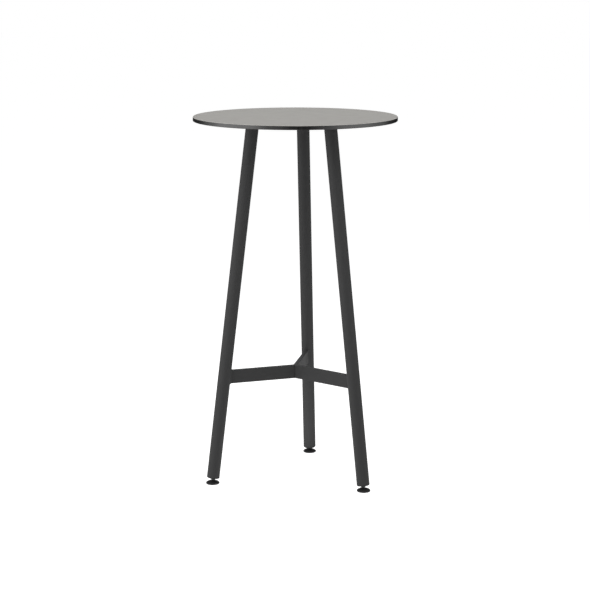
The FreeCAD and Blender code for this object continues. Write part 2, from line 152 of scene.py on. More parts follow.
class FrameSettings(bpy.types.PropertyGroup):
    tube: length("Tube", "Outside diameter of the leg tubes", 38.0)
    wall: length("Wall", "Wall of the leg tubes", 2.0)
    bar: length("Bar", "Thickness of the stretcher's flat bars", 12.0)
    bar_edge: length("Bar edge", "Radius of the bars' long edges", 0.8)
    plate_waist: length("Plate waist", "From the table's axis to a hollow side of the plate", 62.0)
    plate_hole: length("Plate hole", "Diameter of the holes in the plate", 8.0)
    plate_edge: length("Plate edge", "Radius of the plate's powder-coated edges", 0.4)
    seam: length("Seam", "Taken off each bar's face where two bars meet", 1.5)
    seam_depth: length("Seam depth", "Depth of the seam between two bars, along their mitre", 2.2)
    seam_weld: length("Seam weld", "Thickness of the bead in the bottom of a seam", 1.4)
    seam_crown: length("Seam crown", "How far that bead stands out in the middle", 0.2)
    plate_weld: length("Plate weld", "Leg length of the welds round the tubes", 4.0)
    arm_weld: length("Arm weld", "Leg length of the welds round the bars' ends", 3.0)
    toe: length("Toe", "Thickness of a weld at its toe", 0.3)
    ripple: length("Ripple", "Distance between two ripples of a weld", 2.6)
    ripple_height: length("Ripple height", "Height of a weld's ripples", 0.22)
    coat: colour("Powder coat", "Graphite of the powder coat", (0.048, 0.048, 0.0485))


class FootSettings(bpy.types.PropertyGroup):
    ball: length("Ball", "Radius of the ball", 5.5)
    ball_top: length("Ball top", "Radius of the ball's flat top", 3.3)
    ball_under: length("Ball underside", "Radius of the ball's flat underside", 3.775)
    clearance: length("Clearance", "Gap all round a sliding fit", 0.05)
    spigot: length("Spigot", "Radius of the spigot that carries the ball", 2.5)
    rivet: length("Rivet", "Radius of the spigot's riveted end", 3.1)
    rivet_height: length("Rivet height", "Height of the spigot's riveted end", 0.9)
    rivet_recess: length("Rivet recess", "Depth of the recess for the riveted end", 1.1)
    shoulder: length("Shoulder", "Radius of the shoulder over the ball", 3.0)
    shoulder_height: length("Shoulder height", "From the ball's flat top to the hexagon", 1.6)
    hexagon: length("Hexagon", "Width of the stud's hexagon across its flats", 13.0)
    hexagon_height: length("Hexagon height", "Height of the stud's hexagon", 3.5)
    thread: length("Thread", "Outside diameter of the stud's thread", 8.0)
    thread_length: length("Thread length", "Length of the stud over its hexagon", 32.0)
    point: length("Point", "Chamfer at the stud's tip", 1.0)
    gap: length("Gap", "From the hexagon to the plug as the foot stands", 1.7)
    flange: length("Flange", "Thickness of the plug's flange", 2.5)
    nut: length("Nut", "Width of the plug's nut across its flats", 13.0)
    nut_height: length("Nut height", "Height of the plug's nut", 6.5)
    nut_seat: length("Nut seat", "From the plug's underside to its nut", 5.0)
    pad: length("Pad", "Radius of the swivel pad", 20.0)
    pad_edge: length("Pad edge", "Chamfer under the pad's rim", 0.9)
    pad_rim: length("Pad rim", "Height of the top of the pad's straight rim", 4.5)
    pad_dome: length("Pad dome", "How far the pad bulges over a plain cone", 1.1)
    neck_wall: length("Neck wall", "Wall of the pad's neck round the socket", 2.25)
    neck_edge: length("Neck edge", "Chamfer on the pad's neck", 0.8)
    flare: length("Flare", "Chamfer inside the socket's mouth", 0.8)
    socket_floor: length("Socket floor", "Height of the socket's floor", 2.2)
    sole_inset: length("Sole inset", "From the pad's rim to its sole", 3.5)
    sole_edge: length("Sole edge", "Chamfer under the sole", 0.3)
    plastic: colour("Plastic", "Black of the plugs and pads", (0.0165, 0.0165, 0.017))
    stud: colour("Stud", "Dark finish of the studs", (0.045, 0.045, 0.047))
    nylon: colour("Nylon", "Colour of the balls", (0.03, 0.03, 0.031))
    rubber: colour("Rubber", "Colour of the soles", (0.02, 0.02, 0.021))


class StudioSettings(bpy.types.PropertyGroup):
    azimuth: angle("Azimuth", "Camera's bearing from -Y", 10)
    yaw: angle("Yaw", "Camera's aim to the left of the axis", 0.01)
    pitch: angle("Pitch", "Camera's tilt below level", 10.818)
    distance: length("Distance", "From the table's axis to the camera, level", 5261.96)
    height: length("Height", "Camera's height above the soles", 1562.38)
    lens: FloatProperty(name="Lens", description="Focal length", default=109.60, subtype="DISTANCE_CAMERA")
    sky: FloatProperty(name="Sky", description="Level of the light from all round", default=0.37)
    left: power("Left", "Power of the softbox on the left", 40.0)
    right: power("Right", "Power of the softbox on the right", 14.5)
    canopy: power("Canopy", "Power of the softbox behind the table, overhead", 28.0)
    fill: power("Fill", "Power of the softbox over the camera", 18.0)
    low: power("Low light", "Power of the light between the feet", 0.6)
    floor: colour("Floor", "Colour of the floor", (0.9, 0.9, 0.9))
    drop: length("Drop", "From the soles down to the floor, room for a foot screwed out and tilted", 20.0)
    shade: FloatProperty(
        name="Shade",
        description="Share of the floor's white that a shadow can take",
        default=0.9,
        subtype="FACTOR",
    )


class TableSettings(bpy.types.PropertyGroup):
    top: PointerProperty(type=TopSettings, name="Top")
    fixing: PointerProperty(type=FixingSettings, name="Fixings")
    frame: PointerProperty(type=FrameSettings, name="Frame")
    foot: PointerProperty(type=FootSettings, name="Feet")
    studio: PointerProperty(type=StudioSettings, name="Studio")


# Surfaces

# Points round what is turned, enough that it looks round close by
TOP_COLUMNS, PLATE_COLUMNS, PAD_COLUMNS = 288, 360, 120
BALL_COLUMNS, SMALL_COLUMNS, HOLE_COLUMNS = 96, 72, 48
# Points along one ripple of a weld, and up one turn of a stud's thread
RIPPLE_COLUMNS, THREAD_ROWS = 10, 10

# The depth of a metric thread and the widths of its crest and root, as shares of its pitch
THREAD_DEPTH, CREST, ROOT = 0.541, 0.125, 0.25
# Where the innermost ring of a flat end stands, as a share of the end's radius
INNER_RING = 0.5


def ring_angles(columns):
    """Evenly spaced angles round a turn, the first at zero."""
    return np.arange(columns) * TURN / columns


def rings(radii, heights, columns):
    """Grid of points about Z: point j of ring k is at radius radii[k] and height heights[k].

    The angle of point j is j / columns of a turn. Radii and heights may also vary round a ring.
    """
    shape = (len(radii), columns)
    spread = [np.broadcast_to(np.reshape(row, (len(row), -1)), shape) for row in (radii, heights)]
    angles = ring_angles(columns)
    return np.stack([spread[0] * np.cos(angles), spread[0] * np.sin(angles), spread[1]], axis=-1)


def stacked(columns, *parts):
    """Rows under one another. A part is a number or one row, which is a ring, or a grid of rings."""
    heights = [len(part) if np.ndim(part) == 2 else 1 for part in parts]
    return np.concatenate([np.broadcast_to(part, (rows, columns)) for part, rows in zip(parts, heights)])


def arc(start, end, rise, steps=12):
    """Points of a circular arc between two points, standing a rise off their line on its right.

    Half the line and the rise give the arc's radius, (half ** 2 + rise ** 2) / (2 * rise), and its
    half angle, twice the angle of the rise over the half line. Each point carries no rounding.
    """
    start, end = np.array(start), np.array(end)
    half = np.linalg.norm(end - start) / 2
    along = (end - start) / (2 * half)
    right = np.array([along[1], -along[0]])
    radius = (half**2 + rise**2) / (2 * rise)
    sweep = np.linspace(-1, 1, steps + 1) * 2 * math.atan2(rise, half)
    middle = (start + end) / 2 - right * (radius - rise)
    points = middle + radius * (np.sin(sweep)[:, None] * along + np.cos(sweep)[:, None] * right)
    return [(x, z, 0.0) for x, z in points]


def softened(corners, closed=False, steps=5):
    """Points of a section, given as (radius, height, rounding), with its corners rounded off.

    A rounding r at a corner of half angle h is an arc tangent to both sides: it starts r / tan(h)
    along each side, and its centre lies r / sin(h) from the corner on the bisector. A point a little
    further out on each side keeps the flat beside the arc shaded flat.
    """
    further = 1.3
    points = []
    count = len(corners)
    for k, (x, z, rounding) in enumerate(corners):
        at = np.array([x, z])
        if rounding == 0 or not closed and k in (0, count - 1):
            points.append(at)
            continue
        before = np.array(corners[k - 1][:2]) - at
        after = np.array(corners[(k + 1) % count][:2]) - at
        before /= np.linalg.norm(before)
        after /= np.linalg.norm(after)
        half = math.acos(np.clip(before @ after, -1, 1)) / 2
        reach = rounding / math.tan(half)
        centre = at + (before + after) / np.linalg.norm(before + after) * rounding / math.sin(half)
        first, last = at + before * reach - centre, at + after * reach - centre
        sweep = math.pi - 2 * half
        share = np.linspace(0, 1, steps + 1)[:, None]
        bend = (np.sin((1 - share) * sweep) * first + np.sin(share * sweep) * last) / math.sin(sweep)
        points += [at + before * reach * further, *(centre + bend), at + after * reach * further]
    return np.array(points)


def turned(corners, columns, closed=False):
    """Surface of revolution about Z of a softened section."""
    section = softened(corners, closed)
    return rings(section[:, 0], section[:, 1], columns)


def hexagon_radii(width, columns):
    """Distance from the centre to a hexagon's side: half its width over the cosine of the angle
    from the middle of that side. Corners are at whole sixths of a turn."""
    sixth = TURN / 6
    return width / 2 / np.cos(np.mod(ring_angles(columns), sixth) - sixth / 2)


def thread_radii(heights, columns, diameter, pitch):
    """Radius of a right-hand metric thread at each height and angle.

    The place across a ridge is height / pitch less the share of a turn. Straight flanks join the
    crest to the root.
    """
    place = np.mod(np.reshape(heights, (-1, 1)) / pitch - ring_angles(columns) / TURN, 1)
    from_crest = np.abs(2 * place - 1)
    ridge = np.clip((1 - ROOT - from_crest) / (1 - ROOT - CREST), 0, 1)
    return diameter / 2 - THREAD_DEPTH * pitch * (1 - ridge)


def skin(points, bored=False):
    """Closed skin over a grid of rings, as vertices, quads and triangles that face outwards.

    Quads join each ring to the next. The last ring joins the first on a bored piece, and otherwise a
    fan from the mean of each end ring closes it. The signed volume, a sixth of the sum of each
    corner's product with the cross product of the next two, tells whether to turn the faces over.
    """
    count, columns = points.shape[:2]
    index = np.arange(count * columns).reshape(count, columns)
    here = index if bored else index[:-1]
    there = np.roll(index, -1, axis=0) if bored else index[1:]
    quads = np.stack([here, np.roll(here, -1, 1), np.roll(there, -1, 1), there], -1).reshape(-1, 4)
    vertices = points.reshape(-1, 3)
    triangles = np.empty((0, 3), int)
    if not bored:
        vertices = np.concatenate([vertices, points[[0, -1]].mean(axis=1)])
        ends = np.stack([index[0], index[-1][::-1]])
        poles = np.broadcast_to(index.size + np.arange(2)[:, None], ends.shape)
        triangles = np.stack([np.roll(ends, -1, 1), ends, poles], -1).reshape(-1, 3)
    corners = np.concatenate([quads[:, :3], quads[:, [0, 2, 3]], triangles])
    a, b, c = vertices[corners].transpose(1, 0, 2)
    if np.sum(a * np.cross(b, c)) < 0:
        quads, triangles = quads[:, ::-1], triangles[:, ::-1]
    return vertices, quads, triangles


def spun(points, bearing):
    """A grid turned about the table's axis."""
    cosine, sine = math.cos(bearing), math.sin(bearing)
    return points @ np.array([[cosine, sine, 0], [-sine, cosine, 0], [0, 0, 1]])


def on_bearing(points, side):
    """A grid made on the X axis, turned to a leg's bearing."""
    return spun(points, BEARINGS[side])


def on_leg(points, side):
    """A grid made about Z from the ball's centre, carried to a leg's own leaning axis."""
    cosine, sine = math.cos(LEAN), math.sin(LEAN)
    leaning = points @ np.array([[cosine, 0, sine], [0, 1, 0], [-sine, 0, cosine]])
    return on_bearing(leaning + [BALL_OFFSET, 0, BALL_HEIGHT], side)


def on_floor(points, side):
    """A grid made upright about Z, carried to the place under a leg's ball."""
    return on_bearing(points + [BALL_OFFSET, 0, 0], side)


def leg_offset(height):
    """Distance from the table's axis to a leg's axis at a height above the floor."""
    return BALL_OFFSET - (height - BALL_HEIGHT) * math.tan(LEAN)


# Pieces

SMOOTH_ANGLE = math.radians(32)
SAME_PLACE = 0.0001 * MM


def fill_mesh(mesh, skins):
    """Put the vertices, quads and triangles of several skins into one mesh."""
    starts = np.cumsum([0] + [len(vertices) for vertices, _, _ in skins])
    vertices = np.concatenate([one[0] for one in skins])
    quads = np.concatenate([one[1] + start for one, start in zip(skins, starts)])
    triangles = np.concatenate([one[2] + start for one, start in zip(skins, starts)])
    corners = np.concatenate([quads.ravel(), triangles.ravel()])
    firsts = np.concatenate([np.arange(len(quads)) * 4, quads.size + np.arange(len(triangles)) * 3])
    mesh.vertices.add(len(vertices))
    mesh.vertices.foreach_set("co", vertices.astype(np.float32).ravel())
    mesh.loops.add(len(corners))
    mesh.loops.foreach_set("vertex_index", corners.astype(np.int32))
    mesh.polygons.add(len(firsts))
    mesh.polygons.foreach_set("loop_start", firsts.astype(np.int32))
    mesh.update(calc_edges=True)
    merge_points(mesh)
    shade(mesh)


def merge_points(mesh):
    """Merge points that coincide, so that no face is left without an area."""
    shell = bmesh.new()
    shell.from_mesh(mesh)
    bmesh.ops.remove_doubles(shell, verts=shell.verts, dist=SAME_PLACE)
    shell.to_mesh(mesh)
    shell.free()


def shade(mesh):
    """Shade a mesh smooth between faces that meet at a small angle."""
    mesh.polygons.foreach_set("use_smooth", np.ones(len(mesh.polygons), bool))
    mesh.set_sharp_from_angle(angle=SMOOTH_ANGLE)


def new_object(name, mesh):
    """Object at the origin, linked to the scene."""
    made = bpy.data.objects.new(name, mesh)
    bpy.context.scene.collection.objects.link(made)
    return made


def new_piece(settings, name, skins, slot, body, *nodes, finish=None):
    """Piece made of skins. It rides on a body and stands for CAD nodes, and its finish is its slot's
    unless another one is named."""
    mesh = bpy.data.meshes.new(name)
    fill_mesh(mesh, skins)
    mesh.materials.append(finish_for(finish or slot, settings))
    made = new_object(name, mesh)
    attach(made, body)
    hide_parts(*nodes)
    return made


def pieces_per_leg(settings, place, *pieces, part=None, bored=False):
    """The same pieces at every leg, as (name, grid, slot, node), on the frame or on one of its feet's
    parts. A placing function carries their grids there."""
    for side in SIDES:
        body = f"{side}_{part}" if part else "frame"
        for name, points, slot, node in pieces:
            body_skin = skin(place(points, side), bored)
            new_piece(settings, f"{name}_{side}", [body_skin], slot, body, f"{node}_{side}")


def bore(piece, skins):
    """Cut holes of the skins' shape out of a piece."""
    mesh = bpy.data.meshes.new("cutter")
    fill_mesh(mesh, skins)
    cutter = new_object("cutter", mesh)
    cut = piece.modifiers.new("bore", "BOOLEAN")
    cut.operation = "DIFFERENCE"
    cut.solver = "EXACT"
    cut.object = cutter
    bpy.context.view_layer.update()
    result = bpy.data.meshes.new_from_object(piece.evaluated_get(bpy.context.evaluated_depsgraph_get()))
    piece.modifiers.clear()
    piece.data = result
    shade(result)
    bpy.data.objects.remove(cutter)


def dress(node, finish):
    """Give a CAD node that stays as it is its material."""
    mesh = frame["nodes"][node].data
    mesh.materials.clear()
    mesh.materials.append(finish)


# Finishes


def finish_named(name, **sockets):
    """New material whose Principled shader has these values set on its own sockets."""
    made = bpy.data.materials.new(name)
    made.use_nodes = True
    shader = made.node_tree.nodes["Principled BSDF"]
    for socket, value in sockets.items():
        label = socket.replace("_", " ").title().replace("Ior", "IOR")
        shader.inputs[label].default_value = (*value, 1) if isinstance(value, tuple) else value
    return made


def add_node(finish, kind, values=(), **settings):
    """New node with its settings, and with values or linked outputs in its numbered sockets."""
    tree = finish.node_tree
    node = tree.nodes.new(kind)
    for setting, value in settings.items():
        setattr(node, setting, value)
    for socket, value in dict(values).items():
        if isinstance(value, bpy.types.NodeSocket):
            tree.links.new(value, node.inputs[socket])
        else:
            node.inputs[socket].default_value = value
    return node


def feed(finish, socket, output):
    """Link an output to a socket of the Principled shader."""
    finish.node_tree.links.new(output, finish.node_tree.nodes["Principled BSDF"].inputs[socket])


def grain(finish, size, detail=2.0, stretch=(1, 1, 1)):
    """Noise of a grain size in metres, drawn out along an axis where its stretch is over one."""
    place = add_node(finish, "ShaderNodeTexCoord").outputs["Object"]
    scale = [1 / (size * share) for share in stretch]
    mapped = add_node(finish, "ShaderNodeMapping", {"Vector": place, "Scale": scale}).outputs[0]
    noise = add_node(finish, "ShaderNodeTexNoise", {"Vector": mapped, "Scale": 1.0, "Detail": detail})
    return noise.outputs["Fac"]


def between(finish, share, low, high):
    """Value from low to high as a noise goes over the middle of its range."""
    values = {"Value": share, "From Min": 0.3, "From Max": 0.7, "To Min": low, "To Max": high}
    return add_node(finish, "ShaderNodeMapRange", values).outputs[0]


def mottled(finish, base, share, spread):
    """Base colour that varies by a share either side of a colour."""
    colours = [tuple(channel * factor for channel in base) + (1,) for factor in (1 - spread, 1 + spread)]
    factor = between(finish, share, 0.0, 1.0)
    mix = add_node(finish, "ShaderNodeMix", {0: factor, 6: colours[0], 7: colours[1]}, data_type="RGBA")
    feed(finish, "Base Color", mix.outputs[2])
    return mix.outputs[2]


def relief(finish, *layers):
    """Bump made of layers of (height, depth in metres), each over the one before."""
    values = {}
    for height, depth in layers:
        values = {"Height": height, "Distance": depth, "Strength": 1.0} | values
        values = {"Normal": add_node(finish, "ShaderNodeBump", values).outputs[0]}
    feed(finish, "Normal", values["Normal"])


def decor_finish(settings):
    """Matt decor of the laminate: a very fine even grain, and a faint pearl texture.

    The chamfer carries a painted highlight: it is coloured paler all round, and the upright part of the normal
    tells where it is.
    """
    # The painted highlight fades in as the upright part of the normal falls from the first slope to the second
    level, sloping = 0.95, 0.8
    made = finish_named("decor_laminate", roughness=0.45, ior=1.45)
    sheet = mottled(made, settings.decor, grain(made, 0.9 * MM, 4), 0.025)
    normal = add_node(made, "ShaderNodeTexCoord").outputs["Normal"]
    upright = add_node(made, "ShaderNodeSeparateXYZ", {0: normal}).outputs["Z"]
    slope = add_node(made, "ShaderNodeMath", {0: upright}, operation="ABSOLUTE").outputs[0]
    # Mask of the chamfer, where the painted highlight colours the sheet paler
    cut = add_node(made, "ShaderNodeMapRange", {0: slope, 1: level, 2: sloping, 3: 0.0, 4: 1.0}).outputs[0]
    mix = add_node(made, "ShaderNodeMix", {0: cut, 6: sheet, 7: (*settings.cut, 1)}, data_type="RGBA")
    feed(made, "Base Color", mix.outputs[2])
    feed(made, "Roughness", between(made, grain(made, 35 * MM, 3), 0.43, 0.47))
    relief(made, (grain(made, 0.45 * MM), 0.006 * MM))
    return made


def backing_finish(settings):
    """Undecorated balancing sheet: dark resin paper with the dull tooth that it is glued with."""
    made = finish_named("resin_backing", roughness=0.5, ior=1.5, specular_ior_level=0.3)
    mottled(made, settings.backing, grain(made, 2.5 * MM, 4), 0.12)
    feed(made, "Roughness", between(made, grain(made, 8 * MM, 3), 0.44, 0.58))
    relief(made, (grain(made, 0.6 * MM, 3), 0.01 * MM))
    return made


def core_finish(settings):
    """Pressed black core: fine layers lie level in the cut edge, over marks of the cutter."""
    made = finish_named("pressed_core", roughness=0.3, ior=1.52)
    layers = grain(made, 0.16 * MM, 2, (90, 90, 1))
    mottled(made, settings.core, layers, 0.22)
    feed(made, "Roughness", between(made, grain(made, 6 * MM, 3), 0.26, 0.36))
    relief(made, (layers, 0.004 * MM), (grain(made, 1.4 * MM, 1, (1, 1, 8)), 0.004 * MM))
    return made


def coat_finish(settings):
    """Graphite powder coat: fine orange peel under a dusting of texture."""
    made = finish_named("graphite_coat", roughness=0.6, specular_ior_level=0.08)
    mottled(made, settings.coat, grain(made, 0.7 * MM, 5), 0.07)
    feed(made, "Roughness", between(made, grain(made, 14 * MM, 3), 0.57, 0.65))
    relief(made, (grain(made, 2.2 * MM, 1), 0.035 * MM), (grain(made, 0.5 * MM, 3), 0.012 * MM))
    return made


def zinc_finish(settings):
    """Zinc on steel: a faint cloudy spangle and fine scratches."""
    made = finish_named("bright_zinc", metallic=1.0, roughness=0.3)
    mottled(made, settings.steel, grain(made, 1.8 * MM, 4), 0.06)
    feed(made, "Roughness", between(made, grain(made, 0.8 * MM, 3), 0.22, 0.4))
    relief(made, (grain(made, 0.25 * MM, 2, (1, 6, 1)), 0.003 * MM))
    return made


def brass_finish(settings):
    """Turned brass."""
    made = finish_named("turned_brass", metallic=1.0, roughness=0.25)
    mottled(made, settings.brass, grain(made, 1.2 * MM, 3), 0.05)
    feed(made, "Roughness", between(made, grain(made, 0.6 * MM, 2), 0.2, 0.32))
    relief(made, (grain(made, 0.12 * MM, 1, (20, 20, 1)), 0.003 * MM))
    return made


def stud_finish(settings):
    """Black oxide on steel with a thin film of oil."""
    made = finish_named("dark_steel", metallic=1.0, roughness=0.36)
    mottled(made, settings.stud, grain(made, 1.1 * MM, 4), 0.1)
    feed(made, "Roughness", between(made, grain(made, 0.7 * MM, 3), 0.28, 0.44))
    relief(made, (grain(made, 0.2 * MM, 2, (1, 1, 5)), 0.003 * MM))
    return made


def plastic_finish(settings):
    """Moulded black plastic with a spark-eroded grain."""
    made = finish_named("moulded_black", roughness=0.52, specular_ior_level=0.18)
    mottled(made, settings.plastic, grain(made, 0.6 * MM, 3), 0.12)
    feed(made, "Roughness", between(made, grain(made, 5 * MM, 3), 0.48, 0.56))
    relief(made, (grain(made, 0.28 * MM, 2), 0.012 * MM))
    return made


def nylon_finish(settings):
    """Turned nylon: smooth and a little waxy."""
    made = finish_named("dark_nylon", roughness=0.32, ior=1.53, subsurface_weight=0.05)
    mottled(made, settings.nylon, grain(made, 1.5 * MM, 2), 0.06)
    feed(made, "Roughness", between(made, grain(made, 0.5 * MM, 2), 0.28, 0.38))
    relief(made, (grain(made, 0.15 * MM, 1, (20, 20, 1)), 0.004 * MM))
    return made


def rubber_finish(settings):
    """Dull rubber with a fine tooth."""
    made = finish_named("sole_rubber_black", roughness=0.85, ior=1.5)
    mottled(made, settings.rubber, grain(made, 0.5 * MM, 4), 0.15)
    feed(made, "Roughness", between(made, grain(made, 2 * MM, 3), 0.78, 0.92))
    relief(made, (grain(made, 0.35 * MM, 3), 0.03 * MM))
    return made


FINISHES = {
    "laminate_face": (decor_finish, "top"),
    "laminate_core": (core_finish, "top"),
    "resin_backing": (backing_finish, "top"),
    "graphite_powder_coat": (coat_finish, "frame"),
    "zinc_steel": (zinc_finish, "fixing"),
    "insert_brass": (brass_finish, "fixing"),
    "stud_steel": (stud_finish, "foot"),
    "black_plastic": (plastic_finish, "foot"),
    "ball_nylon": (nylon_finish, "foot"),
    "sole_rubber": (rubber_finish, "foot"),
}


made_finishes = {}


def finish_for(name, settings):
    """A finish by its name above, made the first time that it is asked for."""
    if name not in made_finishes:
        recipe, group = FINISHES[name]
        made_finishes[name] = recipe(getattr(settings, group))
    return made_finishes[name]


class TableOperator:
    """What the operators share."""

    bl_options = {"REGISTER", "UNDO"}


# Top


def screw_places(settings):
    """Where the screws stand: one each side of every leg, beside its axis at the plate's underside."""
    across = settings.fixing.offset
    pair = np.array([[leg_offset(PLATE_UNDERSIDE), side * across, 0] for side in (-1, 1)])
    return np.concatenate([on_bearing(pair, side) for side in SIDES])


def at_screws(points, settings, bored=False):
    """Skins of one grid moved to every screw's place."""
    return [skin(points + place, bored) for place in screw_places(settings)]


def bore_at_screws(piece, diameter, bottom, top, settings):
    """Cut a round hole through a piece at every screw's place."""
    hole = turned([(diameter / 2, bottom, 0), (diameter / 2, top, 0)], HOLE_COLUMNS)
    bore(piece, at_screws(hole, settings))


class TABLE_OT_top(TableOperator, bpy.types.Operator):
    """Build the top: a black core board with a grey decor sheet over it and a dark one under it"""

    bl_idname = "table.build_top"
    bl_label = "Top"

    def execute(self, context):
        """Each layer is a turned section. The chamfer cuts through the sheet and a little of the core."""
        settings = context.scene.meeting_table
        soft = settings.top.softening
        corner = TOP_RADIUS - settings.top.arris
        joint = corner + TOP_FACE - CORE_TOP
        step = TOP_RADIUS - joint
        core = [
            (joint, CORE_BOTTOM, 0),
            (TOP_RADIUS, CORE_BOTTOM + step, soft),
            (TOP_RADIUS, CORE_TOP - step, soft),
            (joint, CORE_TOP, 0),
        ]
        inner = corner * INNER_RING
        face = [(joint, CORE_TOP, 0), (corner, TOP_FACE, soft), (inner, TOP_FACE, 0)]
        backing = [(inner, TOP_UNDERSIDE, 0), (corner, TOP_UNDERSIDE, soft), (joint, CORE_BOTTOM, 0)]
        for name, section, finish, slot, node in (
            ("core_board", core, "laminate_core", "laminate_core", "tabletop_core"),
            ("decor_face", face, "laminate_face", "laminate_face", "tabletop_face_laminate"),
            ("backing_sheet", backing, "resin_backing", "laminate_core", "tabletop_backing_laminate"),
        ):
            layer = skin(turned(section, TOP_COLUMNS))
            piece = new_piece(settings, name, [layer], slot, "frame", node, finish=finish)
            if name != "decor_face":
                bore_at_screws(piece, settings.fixing.insert, TOP_UNDERSIDE - MM, INSERT_TOP, settings)
        return {"FINISHED"}


class TABLE_OT_inserts(TableOperator, bpy.types.Operator):
    """Build the brass inserts that the plate's screws go into"""

    bl_idname = "table.build_inserts"
    bl_label = "Threaded inserts"

    def execute(self, context):
        """Outside, a diamond knurl between V grooves; inside, the screw's thread with its clearance.

        The knurl is the product of two sine waves that climb round the insert to either hand.
        """
        settings = context.scene.meeting_table
        fixing = settings.fixing
        columns, rows = 96, 61
        diamonds, climb, plain_end = 24, 1.2 * MM, 0.5 * MM
        height = INSERT_TOP - TOP_UNDERSIDE
        up = np.linspace(0, height, rows)[:, None]
        spacing = height / fixing.grooves
        groove = fixing.groove - np.abs(np.mod(up / spacing, 1) - 0.5) * spacing
        around, along = diamonds * ring_angles(columns), up * TURN / climb
        knurl = fixing.knurl * (1 - np.abs(np.sin((around + along) / 2) * np.sin((around - along) / 2)))
        knurl = knurl * np.clip(np.minimum(up, height - up) / plain_end, 0, 1)
        outside = fixing.insert / 2 - np.maximum(np.clip(groove, 0, None), knurl)
        inside = thread_radii(up, columns, fixing.thread, fixing.pitch) + settings.foot.clearance
        levels = TOP_UNDERSIDE + np.concatenate([up, up[::-1]])
        insert = rings(np.concatenate([outside, inside[::-1]]), levels, columns)
        skins = at_screws(insert, settings, bored=True)
        new_piece(settings, "brass_inserts", skins, "insert_brass", "frame", "threaded_inserts")
        return {"FINISHED"}


# Plate and fixings


def plate_radii(angles, waist):
    """Distance from the axis to the plate's outline at each angle from a leg's bearing.

    A lobe is the far crossing of the ray with a circle round the leg, and a hollow side the near
    crossing with a circle on the line half-way to the next leg, tangent to both lobes.
    """
    reach = leg_offset(PLATE_UNDERSIDE)
    lobe = PLATE_TIP - reach
    span = waist**2 + reach**2 - waist * reach - lobe**2
    hollow = span / (reach + 2 * lobe - 2 * waist)
    middle = waist + hollow
    from_lobe = np.abs(np.mod(angles + TURN / 6, TURN / 3) - TURN / 6)
    from_hollow = TURN / 6 - from_lobe
    tangent_x = reach + (middle / 2 - reach) * lobe / (lobe + hollow)
    tangent_y = middle * math.sin(TURN / 6) * lobe / (lobe + hollow)
    change = math.atan2(tangent_y, tangent_x)
    far = np.sqrt(np.maximum(lobe**2 - (reach * np.sin(from_lobe)) ** 2, 0))
    near = np.sqrt(np.maximum(hollow**2 - (middle * np.sin(from_hollow)) ** 2, 0))
    on_lobe = reach * np.cos(from_lobe) + far
    on_hollow = middle * np.cos(from_hollow) - near
    return np.where(from_lobe < change, on_lobe, on_hollow)


def edge_section(inside, bottom, top, rounding):
    """Section of a rounded edge: its distance from the plain edge, 0 or less, and its height."""
    return softened([(inside, bottom, 0), (0, bottom, rounding), (0, top, rounding), (inside, top, 0)])


class TABLE_OT_plate(TableOperator, bpy.types.Operator):
    """Build the three-lobed mounting plate"""

    bl_idname = "table.build_plate"
    bl_label = "Mounting plate"

    def execute(self, context):
        """The outline is carried up the plate's edge and drawn in by the rounding at both faces."""
        settings = context.scene.meeting_table
        sizes = settings.frame
        outline = plate_radii(ring_angles(PLATE_COLUMNS) - BEARINGS["back"], sizes.plate_waist)
        section = edge_section(-3 * sizes.plate_edge, PLATE_UNDERSIDE, TOP_UNDERSIDE, sizes.plate_edge)
        body = skin(rings(outline + section[:, :1], section[:, 1], PLATE_COLUMNS))
        plate = new_piece(settings, "top_plate", [body], "graphite_powder_coat", "frame", "mounting_plate")
        bore_at_screws(plate, sizes.plate_hole, PLATE_UNDERSIDE - MM, TOP_UNDERSIDE + MM, settings)
        return {"FINISHED"}


class TABLE_OT_washers(TableOperator, bpy.types.Operator):
    """Build the washers under the screws' heads"""

    bl_idname = "table.build_washers"
    bl_label = "Washers"

    def execute(self, context):
        """A turned ring: punching rounds one face's edges more than the other's."""
        settings = context.scene.meeting_table
        hole, rim = settings.fixing.washer_hole / 2, settings.fixing.washer / 2
        sharp, worn, rolled = 0.1 * MM, 0.25 * MM, 0.4 * MM
        section = [
            (hole, PLATE_UNDERSIDE, sharp),
            (rim, PLATE_UNDERSIDE, sharp),
            (rim, WASHER_UNDERSIDE, rolled),
            (hole, WASHER_UNDERSIDE, worn),
        ]
        skins = at_screws(turned(section, SMALL_COLUMNS, closed=True), settings, bored=True)
        new_piece(settings, "plate_washer_set", skins, "zinc_steel", "frame", "plate_washers")
        return {"FINISHED"}


